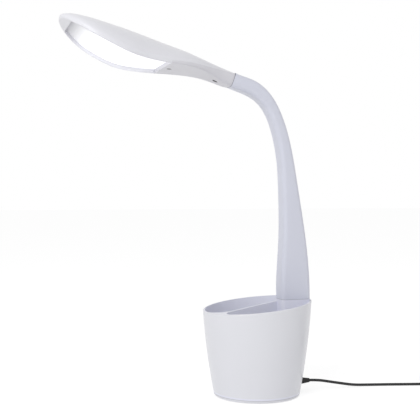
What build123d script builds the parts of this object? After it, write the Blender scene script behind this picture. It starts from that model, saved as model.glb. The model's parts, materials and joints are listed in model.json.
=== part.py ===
from build123d import *

import os
from math import atan2, cos, degrees, hypot, pi, radians, sin, sqrt, tan

# Desk lamp on a pen pot: a round tub with a slanted rim, a rear pot and a front pocket,
# a bent arm that stands on a pillar in the tub, and a leaf-shaped light head on a swivel.
# Millimetres. The origin is the middle of the non-slip pad, on the desk. +Z is up, +X runs
# from the tub's centre to the arm, and the head reaches towards -X.

# ---- tub -------------------------------------------------------------------------------
tub_base_radius = 49.2
tub_top_radius = 62.8
tub_top_height = 110.0
tub_side_bulge = 1.9
tub_wall = 2.4
cover_underside = 0.8
cover_top = 3.4
deck_underside = 17.5
deck_thickness = 2.5
rim_height = 103.5
rim_slope = 0.10
rim_round = 0.9
divider_thickness = 2.6
divider_end_x = 27.2
divider_end_y = 6.0
divider_angle = 22.5
rear_corner_radius = 19.0
pocket_corner_radius = 11.0
foot_height = 109.0

# ---- bottom cover, pad and ballast -------------------------------------------------------
cover_edge_round = 1.2
cover_spigot_height = 2.2
cover_spigot_wall = 1.8
pad_radius = 43.0
pad_thickness = 1.4
pad_recess = 0.6
cover_screw_circle = 39.0
cover_screw_count = 4
cover_screw_angle = 45.0
boss_radius = 3.6
screw_head_radius = 2.7
screw_head_height = 1.5
screw_shank_radius = 1.4
screw_length = 9.0
ballast_radius = 34.0
ballast_thickness = 5.5
ballast_cut_x = 29.0

# ---- electrics in the base ---------------------------------------------------------------
jack_height = 12.0
jack_length = 12.0
jack_width = 9.0
jack_body_height = 10.6
jack_nose_radius = 5.0
jack_bore_radius = 2.85
jack_bore_depth = 10.0
jack_pin_radius = 0.95
jack_pin_length = 8.5
board_length = 38.0
board_width = 30.0
board_thickness = 1.6
board_gap = 4.0
board_centre_x = -4.0
board_hole_inset = 4.0
board_post_radius = 2.4
touch_pad_radius = 7.0
touch_pad_thickness = 0.8
touch_pad_height = 60.0
touch_pad_gap = 0.2

# ---- arm ---------------------------------------------------------------------------------
# Each station of the arm is its outer point and its inner point in the lamp's middle plane.
arm_stations = [
    ((-28.0, 367.3), (-33.9, 351.5)),
    ((-10.3, 361.4), (-17.2, 345.7)),
    ((9.0, 350.0), (-0.5, 337.2)),
    ((22.2, 332.8), (10.3, 325.2)),
    ((35.9, 298.4), (22.0, 294.5)),
    ((43.6, 263.9), (27.6, 260.8)),
    ((49.5, 229.3), (29.2, 226.0)),
    ((55.3, 194.6), (29.6, 190.4)),
    ((60.0, 159.7), (28.2, 156.0)),
    ((62.2, 132.0), (26.8, 130.2)),
    ((62.8, foot_height), (27.2, foot_height)),
]
arm_top_width = 21.0
arm_foot_width = 24.0
arm_corner_radius = 5.0
arm_face_crown = 0.6
arm_wall = 2.2
arm_end_wall = 3.4
arm_web_thickness = 1.8
arm_web_stations = [3, 5, 7, 9]
tube_radius = 3.0
tube_bore_radius = 2.2
tube_points = [(45.0, 92.0), (44.6, 160.0), (38.6, 229.0), (28.0, 297.5), (10.5, 336.0), (-11.0, 351.4)]
fit_gap = 0.3
foot_plate_thickness = 3.0
foot_screw_spacing = 20.0
pillar_wall = 2.4
pillar_top_thickness = 3.0
harness_radius = 1.5
harness_start_points = [(28.5, 0.0, 12.9), (34.2, 0.0, 19.4), (41.5, 0.0, 31.0), (45.2, 0.0, 50.0)]

# ---- swivel ------------------------------------------------------------------------------
seam_gap = 0.4
shaft_radius = 3.0
shaft_bore_radius = 1.8
shaft_clearance = 0.08
nut_across_flats = 9.0
nut_thickness = 3.2
washer_radius = 5.0
washer_thickness = 1.2
shaft_overrun = 1.6

# ---- head --------------------------------------------------------------------------------
head_wall = 2.0
lip_height = 1.2
lip_round = 0.45
led_end_x = -111.0
head_round_x = -176.0
head_round_length = 48.5
head_half_width = 53.6
leaf_fullness = 0.5523
seam_fullness = 0.7
seam_side_height = 4.0
# x, bottom z, crest height above the bottom, side height, half width, fullness, tilt
head_neck_stations = [
    (led_end_x, 369.7, 25.6, 1.2, 42.8, leaf_fullness, 0.0),
    (-92.0, 368.2, 21.1, 2.4, 37.4, 0.56, 0.0),
    (-71.0, 365.0, 16.1, 4.2, 28.2, 0.6, 0.0),
    (-57.0, 360.6, 15.3, 4.4, 20.6, 0.64, 5.0),
    (-45.5, 355.6, 16.4, 4.2, 15.0, 0.68, 12.0),
]
# x, rim z, crest z of the leaf between the light's straight end and its widest place
head_leaf_stations = [(-135.0, 371.9, 403.0, 48.2), (-156.0, 376.4, 409.2, 53.0)]
# share of the rounded end's length, rim z, crest z
head_tip_stations = [
    (0.0, 385.0, 414.3),
    (0.35, 394.0, 418.6),
    (0.62, 402.6, 421.2),
    (0.81, 409.6, 422.4),
    (0.93, 414.6, 422.2),
    (0.985, 417.4, 421.2),
]
head_tip_z = 419.2
crease_points = [(led_end_x, 372.0), (-88.0, 371.9), (-66.0, 370.0), (-45.0, 367.6), (-31.0, 366.4)]
neck_floor_thickness = 1.4
diffuser_height = 4.4
diffuser_thickness = 2.0
tray_thickness = 2.0
led_board_thickness = 1.4
led_board_gap = 0.9
led_window_start = -193.0
led_window_end = -124.0
led_window_half_width = 27.0
led_rows = 3
led_columns = 8
led_length = 3.5
led_width = 2.8
led_height = 0.7
head_screw_places = [-103.6, -50.4]
head_lead_y = 7.2
head_lead_points = [
    (-47.5, 5.6, 365.6),
    (-58.0, 7.0, 369.8),
    (-72.0, 7.3, 374.6),
    (-88.0, 7.1, 380.0),
    (-106.0, 7.2, 385.2),
]
head_screw_head_radius = 2.3
head_screw_head_height = 1.0
head_screw_length = 8.0
head_screw_sink = 1.0

# ---- cord --------------------------------------------------------------------------------
cord_diameter = 3.2
plug_barrel_radius = 2.75
plug_barrel_bore = 1.05
plug_barrel_length = 9.0
plug_collar_radius = 4.6
plug_collar_length = 3.4
relief_start_radius = 4.0
relief_end_radius = 2.5
relief_length = 10.5
relief_rib_count = 4
cord_floor_z = 1.7
cord_route = [
    (77.5, -0.2, 11.4),
    (91.0, -0.3, 8.7),
    (107.0, 0.3, 5.5),
    (123.0, 0.5, 2.5),
    (143.0, -1.1, 1.75),
    (166.0, -6.0, 1.7),
    (189.0, -12.2, 1.72),
    (211.0, -17.3, 1.7),
    (229.0, -19.8, 1.71),
]
coil_centre_x = 246.0
coil_centre_y = 3.6
coil_mid_radius = 18.6
coil_pitch = 4.35
coil_rise = 3.9
coil_layers = 4
coil_half_turns = 5
coil_exit_half_turns = 4
tail_route = [(263.0, -18.3, 13.4), (278.0, -19.3, 11.2), (291.0, -21.8, 7.0), (303.0, -24.0, 4.6)]
tail_end_run = 9.5
adapter_length = 42.0
adapter_width = 28.0
adapter_height = 24.0
adapter_round = 3.0
adapter_exit_z = 4.4
adapter_relief_length = 8.5
prong_length = 16.0
prong_width = 6.3
prong_thickness = 1.5
prong_spacing = 12.7

os.makedirs("parts", exist_ok=True)


def write(node, shape):
    """Write one sub-part."""
    shape.label = node
    export_step(shape, f"parts/{node}.step")


def box_between(low, high):
    """A box from its two corners."""
    size = [high[i] - low[i] for i in range(3)]
    centre = [(high[i] + low[i]) / 2 for i in range(3)]
    return Pos(*centre) * Box(*size)


def rod(start, end, radius):
    """A cylinder between two points."""
    axis = Vector(*end) - Vector(*start)
    return extrude(Plane(origin=start, z_dir=axis) * Circle(radius), axis.length)


def hexagon_bar(start, end, across_flats):
    """A six-sided bar between two points, with flats to the lamp's near and far side."""
    axis = Vector(*end) - Vector(*start)
    plane = Plane(origin=start, x_dir=(0, 1, 0), z_dir=axis)
    outline = RegularPolygon(across_flats / 2, 6, major_radius=False, rotation=0)
    return extrude(plane * outline, axis.length)


# ---- the tub ---------------------------------------------------------------------------
def tub_radius(z):
    """Outer radius of the tub at height z."""
    share = (z - cover_underside) / (tub_top_height - cover_underside)
    straight = tub_base_radius + (tub_top_radius - tub_base_radius) * share
    return straight + 4 * tub_side_bulge * share * (1 - share)


def tub_cone(bottom, top, inset=0.0):
    """The solid inside the tub's curved side, drawn in by inset, between two heights."""
    middle = (bottom + top) / 2
    side = ThreePointArc(
        (tub_radius(bottom) - inset, 0, bottom),
        (tub_radius(middle) - inset, 0, middle),
        (tub_radius(top) - inset, 0, top),
    )
    outline = Polyline(side @ 1, (0, 0, top), (0, 0, bottom), side @ 0)
    return revolve(make_face(side + outline), Axis.Z)


def rim_plane():
    """The slanted plane of the rim, higher on the arm's side."""
    return Plane(origin=(0, 0, rim_height), z_dir=(-rim_slope, 0, 1))


def pillar_block(inset, bottom, top):
    """The pillar under the arm, with the arm's own section, drawn in by inset."""
    foot_outer = arm_stations[-1][0][0]
    foot_inner = arm_stations[-1][1][0]
    plane = Plane(origin=((foot_outer + foot_inner) / 2, 0, bottom))
    face = arm_outline(foot_outer - foot_inner, arm_foot_width, inset)
    return extrude(plane * face, top - bottom)


def divider_side(side):
    """A tall block that covers one side of the divider wall: 1 is the rear, -1 the front."""
    span = 4 * tub_top_radius
    face = Plane(
        origin=(divider_end_x, divider_end_y, 0),
        x_dir=(cos(radians(divider_angle)), sin(radians(divider_angle)), 0),
        z_dir=(0, 0, 1),
    )
    middle = side * (divider_thickness / 2 + span / 2)
    return face * Pos(0, middle, span / 2) * Box(2 * span, span, 2 * span)


def upright_edges(shape, low, high):
    """Edges of a pot that run up through its middle height."""
    middle = (low + high) / 2
    found = []
    for edge in shape.edges():
        box = edge.bounding_box()
        if box.min.Z < middle < box.max.Z and edge.length < 1.3 * (high - low):
            found.append(edge)
    return found


def level_block(bottom, top):
    """A wide block between two heights."""
    reach = 2 * tub_top_radius
    return box_between((-reach, -reach, bottom), (reach, reach, top))


def pots():
    """The rear pot and the front pocket, as the solids that are cut out of the tub."""
    floor = deck_underside + deck_thickness
    top = tub_top_height + 6
    pillar = pillar_block(0.0, 0.0, top + 1)
    cavity = tub_cone(floor, top, tub_wall)
    rear = cavity & divider_side(1)
    front = cavity & divider_side(-1)
    rear = rear - pillar
    front = front - pillar
    return rear, front, floor, top


def corner_edges(shape, low, high, left):
    """Upright edges of a pot on the head's side (left) or next to the pillar."""
    chosen = []
    for edge in upright_edges(shape, low, high):
        x = edge.center().X
        if left == (x < 0):
            chosen.append(edge)
    return chosen


def rim_edges(body):
    """The edges that lie in the rim's slanted plane."""
    plane = rim_plane()
    found = []
    for edge in body.edges():
        heights = [abs(plane.to_local_coords(edge.position_at(t)).Z) for t in (0.0, 0.5, 1.0)]
        if max(heights) < 0.01:
            found.append(edge)
    return found


def make_tub():
    """The moulded tub: curved side, slanted rim, two pots, pillar and bosses."""
    rear, front, floor, top = pots()
    rear = fillet(corner_edges(rear, floor, top, True), rear_corner_radius)
    front = fillet(corner_edges(front, floor, top, True), pocket_corner_radius)
    envelope = tub_cone(cover_top, tub_top_height + 5)
    body = split(envelope, bisect_by=rim_plane(), keep=Keep.BOTTOM)
    body = fillet(rim_edges(body), rim_round)
    body = body - rear - front
    body = body + (pillar_block(0.0, floor - 1, foot_height) & envelope)
    # seat of the arm's foot: nothing of the rim stands above it
    body = body - pillar_block(-fit_gap, foot_height, foot_height + 8)
    # bay for the electrics under the deck
    # and the channel up the pillar for the tube, the screws and the leads
    hollow = tub_cone(cover_top - 1, tub_top_height, tub_wall)
    channel = pillar_block(pillar_wall, cover_top - 2, foot_height - pillar_top_thickness)
    body = body - ((level_block(cover_top - 2, deck_underside) + channel) & hollow)
    for place in ring_places():
        post = rod((*place, cover_top), (*place, deck_underside + 1), boss_radius)
        hole = rod((*place, cover_top - 1), (*place, cover_top + screw_length), screw_shank_radius)
        body = body + post - hole
    for place in board_corners():
        post = rod((*place, deck_underside - board_gap), (*place, deck_underside + 1), board_post_radius)
        body = body + post
    wall_x = tub_radius(jack_height)
    body = body - rod((wall_x - 9, 0, jack_height), (wall_x + 4, 0, jack_height), jack_nose_radius + 0.1)
    tube_x = tube_points[0][0]
    body = body - rod((tube_x, 0, 80), (tube_x, 0, foot_height + 1), tube_radius + 0.1)
    for x in foot_screw_places():
        body = body - rod((x, 0, 80), (x, 0, foot_height + 1), screw_shank_radius + 0.1)
    return body


def ring_places():
    """Middles of the bottom cover's screws."""
    places = []
    for i in range(cover_screw_count):
        angle = radians(cover_screw_angle + 360 / cover_screw_count * i)
        places.append((cover_screw_circle * cos(angle), cover_screw_circle * sin(angle)))
    return places


def board_corners():
    """Middles of the driver board's four holes."""
    dx = board_length / 2 - board_hole_inset
    dy = board_width / 2 - board_hole_inset
    return [(board_centre_x + i * dx, j * dy) for i in (-1, 1) for j in (-1, 1)]


def foot_screw_places():
    """X places of the two screws that hold the arm's foot."""
    middle = tube_points[0][0]
    return (middle - foot_screw_spacing / 2, middle + foot_screw_spacing / 2)


def screw(tip, head_end, head_radius, head_height, shank_radius):
    """A pan-head screw whose head ends at head_end and whose shank ends at tip."""
    axis = (Vector(*tip) - Vector(*head_end)).normalized()
    neck = Vector(*head_end) + axis * head_height
    head = rod(head_end, tuple(neck), head_radius)
    slot = Plane(origin=head_end, z_dir=axis)
    cross = slot * Box(2.6, 0.7, 1.4) + slot * Box(0.7, 2.6, 1.4)
    return head + rod(tuple(neck), tip, shank_radius) - cross


def make_cover():
    """The bottom cover with its spigot, screw holes, pad recess and jack cradle."""
    plate = tub_cone(cover_underside, cover_top)
    plate = fillet(plate.edges().group_by(Axis.Z)[0], cover_edge_round)
    outer = tub_radius(cover_top) - tub_wall - fit_gap
    ring = Pos(0, 0, cover_top) * Cylinder(
        outer, cover_spigot_height, align=(Align.CENTER, Align.CENTER, Align.MIN)
    )
    ring = ring - Pos(0, 0, cover_top - 1) * Cylinder(
        outer - cover_spigot_wall, cover_spigot_height + 2, align=(Align.CENTER, Align.CENTER, Align.MIN)
    )
    cover = plate + ring
    recess_top = cover_underside + pad_recess
    cover = cover - Cylinder(
        pad_radius + fit_gap, recess_top, align=(Align.CENTER, Align.CENTER, Align.MIN)
    )
    for place in ring_places():
        clear = rod((*place, cover_top), (*place, cover_top + 5), boss_radius + fit_gap)
        cover = cover - clear
        cover = cover - rod((*place, 0), (*place, cover_top + 1), screw_shank_radius + 0.1)
        cover = cover - rod((*place, 0), (*place, recess_top + screw_head_height), screw_head_radius + 0.2)
    inner, outer_x = jack_span()
    cradle_top = jack_height - jack_body_height / 2
    cradle = box_between(
        (inner, -jack_width / 2, cover_top - 0.5), (outer_x - 2.2, jack_width / 2, cradle_top)
    )
    return cover + cradle


def make_pad():
    """The non-slip pad under the cover."""
    return Cylinder(pad_radius, pad_thickness, align=(Align.CENTER, Align.CENTER, Align.MIN))


def make_cover_screws():
    """The screws that hold the bottom cover."""
    pieces = []
    head_end = cover_underside + pad_recess
    for place in ring_places():
        tip = (*place, cover_top + screw_length - 1)
        pieces.append(
            screw(tip, (*place, head_end), screw_head_radius, screw_head_height, screw_shank_radius)
        )
    return Compound(children=pieces)


def make_ballast():
    """The steel weight on the bottom cover, cut straight next to the jack."""
    disc = Pos(0, 0, cover_top) * Cylinder(
        ballast_radius, ballast_thickness, align=(Align.CENTER, Align.CENTER, Align.MIN)
    )
    far = 2 * ballast_radius
    disc = disc - box_between((ballast_cut_x, -far, 0), (far, far, far))
    for place in ring_places():
        disc = disc - rod((*place, 0), (*place, 20), boss_radius + 2 * fit_gap)
    return disc


def jack_span():
    """Inner and outer X of the power jack's body."""
    outer = tub_radius(jack_height) - tub_wall - fit_gap
    return outer - jack_length, outer


def make_jack():
    """The power jack: a block with a round nose through the wall, a bore and a pin."""
    inner, outer = jack_span()
    half = jack_body_height / 2
    block = box_between(
        (inner, -jack_width / 2, jack_height - half), (outer - 2.2, jack_width / 2, jack_height + half)
    )
    nose_end = tub_radius(jack_height) - 0.4
    nose = rod((outer - 3, 0, jack_height), (nose_end, 0, jack_height), jack_nose_radius)
    bore = rod((nose_end - jack_bore_depth, 0, jack_height), (nose_end + 1, 0, jack_height), jack_bore_radius)
    pin_start = nose_end - jack_bore_depth - 1
    pin = rod((pin_start, 0, jack_height), (pin_start + 1 + jack_pin_length, 0, jack_height), jack_pin_radius)
    return block + nose - bore + pin


def make_driver_board():
    """The driver board with its parts, hung under the deck."""
    top = deck_underside - board_gap
    low = top - board_thickness
    plate = box_between(
        (board_centre_x - board_length / 2, -board_width / 2, low),
        (board_centre_x + board_length / 2, board_width / 2, top),
    )
    coil = rod((board_centre_x - 8, 2, top), (board_centre_x - 8, 2, top + 3.2), 5.0)
    chip = box_between((board_centre_x + 2, -6, top), (board_centre_x + 9, -1, top + 1.6))
    can = rod((board_centre_x + 6, 6, top), (board_centre_x + 6, 6, top + 3.4), 3.2)
    return plate + coil + chip + can


def make_touch_pad():
    """The touch sensor's plate, stuck to the inside of the pillar's near wall."""
    foot_outer = arm_stations[-1][0][0]
    foot_inner = arm_stations[-1][1][0]
    x = (foot_outer + foot_inner) / 2
    near = -arm_foot_width / 2 + pillar_wall + touch_pad_gap
    far = near + touch_pad_thickness
    return rod((x, near, touch_pad_height), (x, far, touch_pad_height), touch_pad_radius)


# ---- the arm ---------------------------------------------------------------------------
def arm_outline(thickness, width, inset=0.0):
    """The arm's section: a rounded oblong whose long sides are a little crowned."""
    half_t = thickness / 2 - inset
    half_w = width / 2 - inset
    crown = arm_face_crown
    corners = [(-half_t, -half_w + crown), (half_t, -half_w + crown), (half_t, half_w - crown), (-half_t, half_w - crown)]
    near = ThreePointArc(corners[0], (0, -half_w), corners[1])
    far = ThreePointArc(corners[2], (0, half_w), corners[3])
    outline = near + Line(corners[1], corners[2]) + far + Line(corners[3], corners[0])
    face = make_face(outline)
    radius = max(arm_corner_radius - inset, 1.0)
    return fillet(face.vertices(), radius)


def arm_plane(station):
    """The plane of one arm section, its x axis from the inner to the outer point."""
    (outer_x, outer_z), (inner_x, inner_z) = arm_stations[station]
    across = Vector(outer_x - inner_x, 0, outer_z - inner_z).normalized()
    middle = ((outer_x + inner_x) / 2, 0, (outer_z + inner_z) / 2)
    return Plane(origin=middle, x_dir=across, z_dir=across.cross(Vector(0, 1, 0)))


def arm_size(station):
    """Thickness and width of the arm at one station."""
    (outer_x, outer_z), (inner_x, inner_z) = arm_stations[station]
    thickness = hypot(outer_x - inner_x, outer_z - inner_z)
    share = station / (len(arm_stations) - 1)
    return thickness, arm_top_width + (arm_foot_width - arm_top_width) * share


def arm_solid(inset, end_wall):
    """The arm's outer form, drawn in by inset, starting end_wall below the seam."""
    sections = []
    for station in range(len(arm_stations)):
        plane = arm_plane(station)
        thickness, width = arm_size(station)
        if station == 0:
            plane = Plane(
                origin=plane.origin - seam_axis() * end_wall, x_dir=plane.x_dir, z_dir=plane.z_dir
            )
        if station == len(arm_stations) - 1 and inset > 0:
            plane = Plane(origin=plane.origin - Vector(0, 0, 0.5), x_dir=plane.x_dir, z_dir=plane.z_dir)
        sections.append(plane * arm_outline(thickness, width, inset))
    return loft(sections)


def seam_point():
    """Middle of the seam between the arm and the head."""
    (outer_x, outer_z), (inner_x, inner_z) = arm_stations[0]
    return Vector((outer_x + inner_x) / 2, 0, (outer_z + inner_z) / 2)


def seam_axis():
    """Direction of the swivel axis, from the arm into the head."""
    (outer_x, outer_z), (inner_x, inner_z) = arm_stations[0]
    across = Vector(outer_x - inner_x, 0, outer_z - inner_z).normalized()
    return Vector(-across.Z, 0, across.X)


def on_axis(distance):
    """A point on the swivel axis: positive distances lie in the head."""
    return tuple(seam_point() + seam_axis() * distance)


def tube_path():
    """The core tube's middle line: straight runs with round bends."""
    points = [(x, 0, z) for x, z in tube_points]
    return FilletPolyline(*points, radius=bend_radii(points))


def bend_radii(points):
    """Bend radius at each inner point: as large as the two runs beside it allow."""
    radii = []
    for before, here, after in zip(points, points[1:], points[2:]):
        run_in = Vector(*here) - Vector(*before)
        run_out = Vector(*after) - Vector(*here)
        turn = radians(run_in.get_angle(run_out))
        radii.append(0.45 * min(run_in.length, run_out.length) / tan(turn / 2))
    return radii


def swept_rod(path, radius):
    """A round bar along a path."""
    section = Plane(origin=path @ 0, z_dir=path % 0) * Circle(radius)
    return sweep(section, path=path)


def make_arm_shells(tube_space):
    """The near and the far half of the arm, with webs that hold the core tube."""
    outer = arm_solid(0.0, 0.0)
    hollow = arm_solid(arm_wall, arm_end_wall)
    shell = outer - hollow
    for station in arm_web_stations:
        plane = arm_plane(station)
        web = extrude(plane * Rectangle(60, 40), arm_web_thickness / 2, both=True)
        shell = shell + (web & hollow)
    shell = shell - tube_space
    shell = shell - rod(on_axis(-2 * arm_end_wall), on_axis(1), shaft_radius + shaft_clearance)
    near = split(shell, bisect_by=Plane.XZ, keep=Keep.TOP)
    far = split(shell, bisect_by=Plane.XZ, keep=Keep.BOTTOM)
    return near, far


def make_foot_plate():
    """The steel plate in the arm's foot that the screws from the pillar hold."""
    foot_outer = arm_stations[-1][0][0]
    foot_inner = arm_stations[-1][1][0]
    plane = Plane(origin=((foot_outer + foot_inner) / 2, 0, foot_height))
    face = arm_outline(foot_outer - foot_inner, arm_foot_width, arm_wall + fit_gap + 0.2)
    plate = extrude(plane * face, foot_plate_thickness)
    x = tube_points[0][0]
    plate = plate - rod((x, 0, foot_height - 1), (x, 0, foot_height + 9), tube_radius + 0.05)
    for screw_x in foot_screw_places():
        plate = plate - rod((screw_x, 0, foot_height - 1), (screw_x, 0, foot_height + 9), screw_shank_radius)
    return plate


def make_foot_screws():
    """The two screws that come up through the pillar's top into the foot plate."""
    head_end = foot_height - pillar_top_thickness - screw_head_height
    tip = foot_height + foot_plate_thickness
    pieces = []
    for x in foot_screw_places():
        pieces.append(
            screw((x, 0, tip), (x, 0, head_end), screw_head_radius, screw_head_height, screw_shank_radius)
        )
    return Compound(children=pieces)


def harness_end():
    """Where the fixed leads end, just before the swivel shaft."""
    return -(arm_end_wall + washer_thickness + nut_thickness + shaft_overrun + fit_gap + 1)


def make_harness():
    """The leads from the base through the tube to the swivel."""
    board_end = board_centre_x + board_length / 2
    points = [(board_end, 0, deck_underside - board_gap - board_thickness / 2)]
    points.extend(harness_start_points)
    points.extend((x, 0, z) for x, z in tube_points)
    points.append(on_axis(harness_end()))
    path = FilletPolyline(*points, radius=bend_radii(points))
    return swept_rod(path, harness_radius)


# ---- the swivel --------------------------------------------------------------------------
def make_shaft():
    """The hollow swivel shaft with its six-sided flange in the head."""
    flange_start = seam_gap + arm_end_wall
    end = -(arm_end_wall + washer_thickness + fit_gap + nut_thickness + shaft_overrun)
    shaft = rod(on_axis(end), on_axis(flange_start + nut_thickness), shaft_radius)
    flange = hexagon_bar(on_axis(flange_start), on_axis(flange_start + nut_thickness), nut_across_flats)
    bore = rod(on_axis(end - 1), on_axis(flange_start + nut_thickness + 1), shaft_bore_radius)
    return shaft + flange - bore


def make_washer():
    """The spring washer against the arm's end wall."""
    ring = rod(on_axis(-arm_end_wall - washer_thickness), on_axis(-arm_end_wall), washer_radius)
    return ring - rod(on_axis(-20), on_axis(1), shaft_radius + 2 * shaft_clearance)


def make_nut():
    """The nut on the swivel shaft's end."""
    start = -(arm_end_wall + washer_thickness + fit_gap + nut_thickness)
    bar = hexagon_bar(on_axis(start), on_axis(start + nut_thickness), nut_across_flats)
    return bar - rod(on_axis(-20), on_axis(1), shaft_radius)


# ---- the head ----------------------------------------------------------------------------
def head_stations():
    """All sections of the head from the tip to the seam, in one list of tuples."""
    stations = []
    for share, rim, crest in reversed(head_tip_stations):
        x = head_round_x - share * head_round_length
        half = head_half_width * sqrt(1 - share * share)
        stations.append((x, rim, crest - rim, lip_height, half, leaf_fullness, 0.0))
    for x, rim, crest, half in reversed(head_leaf_stations):
        stations.append((x, rim, crest - rim, lip_height, half, leaf_fullness, 0.0))
    stations.extend(head_neck_stations)
    seam = seam_point() + seam_axis() * seam_gap
    thickness, width = arm_size(0)
    tilt = degrees(atan2(seam_axis().Z, -seam_axis().X))
    low = seam - Vector(sin(radians(tilt)), 0, cos(radians(tilt))) * (thickness / 2)
    stations.append((low.X, low.Z, thickness, seam_side_height, width / 2, seam_fullness, tilt))
    return stations


def head_section(station, inset=0.0, drop=0.0):
    """One section of the head as a face, drawn in by inset, its floor lowered by drop."""
    x, bottom, height, side, half, fullness, tilt = station
    plane = Plane(
        origin=(x, 0, bottom),
        x_dir=(0, 1, 0),
        z_dir=(cos(radians(tilt)), 0, -sin(radians(tilt))),
    )
    half = half - inset
    low = -drop
    if inset > 0 and drop == 0.0:
        low = neck_floor_thickness
    top = height - inset
    corner = max(corner_radius(station) - inset, 0.4)
    start = corner_radius(station) + side
    if inset > 0:
        start = max(neck_floor_thickness + corner + 0.2, start - inset / 2)
    pull_up = start + fullness * (top - start)
    outline = Bezier((half, start), (half, pull_up), (fullness * half, top), (0, top))
    outline += Bezier((0, top), (-fullness * half, top), (-half, pull_up), (-half, start))
    outline += Line((-half, start), (-half, low + corner))
    outline += RadiusArc((-half, low + corner), (-half + corner, low), -corner)
    outline += Line((-half + corner, low), (half - corner, low))
    outline += RadiusArc((half - corner, low), (half, low + corner), -corner)
    outline += Line((half, low + corner), (half, start))
    return plane * make_face(outline)


def corner_radius(station):
    """Round of the lower corners: a thin lip on the leaf, the arm's own corner at the seam."""
    x = station[0]
    seam_x = seam_point().X
    if x <= led_end_x:
        return lip_round
    share = (x - led_end_x) / (seam_x - led_end_x)
    return lip_round + (arm_corner_radius - lip_round) * min(share, 1.0)


def head_form(inset=0.0):
    """The whole head from the tip to the seam, drawn in by inset."""
    sections = [head_section(station, inset) for station in head_stations()]
    return loft(sections)


def leaf_hollow(inset):
    """The space under the leaf, open downwards, from the tip to the light's straight end."""
    sections = []
    for station in head_stations():
        x, bottom, height, side, half, fullness, tilt = station
        if x <= led_end_x and height > 4 * inset and half > 4 * inset:
            sections.append(head_section(station, inset, drop=2 * inset))
    return loft(sections)


def neck_hollow(inset):
    """The space in the neck between the light's straight end and the seam's wall."""
    sections = []
    for station in head_stations():
        if station[0] >= led_end_x:
            sections.append(head_section(station, inset))
    hollow = loft(sections)
    wall = Plane(origin=on_axis(seam_gap + arm_end_wall), z_dir=seam_axis())
    return split(hollow, bisect_by=wall, keep=Keep.TOP)


def above_crease():
    """Everything above the parting line between the head's shell and its neck cover."""
    far_left = 3 * led_end_x
    high = 2 * head_tip_z
    low = 0.8 * head_tip_z
    parting = Spline(*[(x, 0, z) for x, z in crease_points])
    right = crease_points[-1][0] + 20
    last = parting @ 1
    rest = Polyline(
        last,
        (right, 0, last.Z - 3),
        (right, 0, high),
        (far_left, 0, high),
        (far_left, 0, low),
        (led_end_x, 0, low),
        parting @ 0,
    )
    return extrude(make_face(parting + rest), 2 * head_half_width, both=True)


def rim_line(height):
    """The underside's curve in the middle plane, raised by height."""
    points = []
    for x, bottom, *others in head_stations():
        if x <= led_end_x:
            points.append((x, 0, bottom + height))
    return Spline(*points)


def leaf_slab(low, high, start_x, end_x):
    """A sheet that follows the underside's curve between two heights above the rim."""
    lower = rim_line(low)
    upper = rim_line(high)
    outline = lower + upper + Line(lower @ 0, upper @ 0) + Line(lower @ 1, upper @ 1)
    sheet = extrude(make_face(outline), 2 * head_half_width, both=True)
    far = 4 * head_half_width
    return sheet & box_between((start_x, -far, 0), (end_x, far, 3 * far))


def make_head_shell(walls, region, neck):
    """The head's top shell, with its two screw posts."""
    shell = walls & region
    for x in head_screw_places:
        post = rod((x, 0, neck_floor(x) + neck_floor_thickness), (x, 0, head_tip_z), boss_radius)
        shell = shell + (post & neck)
        shell = shell - rod((x, 0, 300), (x, 0, neck_floor(x) + 9), screw_shank_radius)
    return shell


def neck_floor(x):
    """Height of the neck's underside at x."""
    stations = [s for s in head_stations() if s[0] >= led_end_x]
    for first, second in zip(stations, stations[1:]):
        if first[0] <= x <= second[0]:
            share = (x - first[0]) / (second[0] - first[0])
            return first[1] + (second[1] - first[1]) * share
    return stations[-1][1]


def make_neck_cover(walls, region, neck):
    """The cover under the neck: floor, side walls, end wall at the light and screw sinks."""
    cover = walls - region
    end_low = head_neck_stations[0][1]
    wall = box_between(
        (led_end_x, -200, end_low), (led_end_x + head_wall, 200, end_low + diffuser_height + 3)
    )
    cover = cover + (wall & neck)
    for x in head_screw_places:
        floor = neck_floor(x)
        cover = cover - rod((x, 0, 300), (x, 0, floor + 20), screw_shank_radius + 0.1)
        cover = cover - rod((x, 0, 300), (x, 0, floor + head_screw_sink), head_screw_head_radius + 0.3)
    return cover - rod(on_axis(-2), on_axis(12), shaft_radius + shaft_clearance)


def make_head_screws():
    """The two screws in the neck's underside."""
    pieces = []
    for x in head_screw_places:
        floor = neck_floor(x)
        head_end = (x, 0, floor + head_screw_sink - head_screw_head_height)
        tip = (x, 0, floor + head_screw_length)
        pieces.append(
            screw(tip, head_end, head_screw_head_radius, head_screw_head_height, screw_shank_radius)
        )
    return Compound(children=pieces)


def light_heights():
    """Heights above the rim of the diffuser, the tray, the LEDs and their board."""
    tray_low = diffuser_height + diffuser_thickness
    tray_high = tray_low + tray_thickness
    board_low = tray_high
    return tray_low, tray_high, board_low, board_low + led_board_thickness


def make_diffuser(space):
    """The opal cover of the light."""
    tray_low = light_heights()[0]
    return space & leaf_slab(diffuser_height, tray_low, 2 * led_end_x, led_end_x - fit_gap)


def make_tray(space):
    """The white tray that carries the LED board, with the light's window."""
    low, high, board_low, board_high = light_heights()
    tray = space & leaf_slab(low, high, 2 * led_end_x, led_end_x - fit_gap)
    window = box_between(
        (led_window_start, -led_window_half_width, 0), (led_window_end, led_window_half_width, 900)
    )
    return tray - window


def make_led_board():
    """The LED board on the tray."""
    low, high, board_low, board_high = light_heights()
    margin = 4.0
    sheet = leaf_slab(board_low, board_high, led_window_start - margin, led_window_end + margin)
    half = led_window_half_width + margin / 2
    return sheet & box_between((3 * led_end_x, -half, 0), (0, half, 900))


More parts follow.
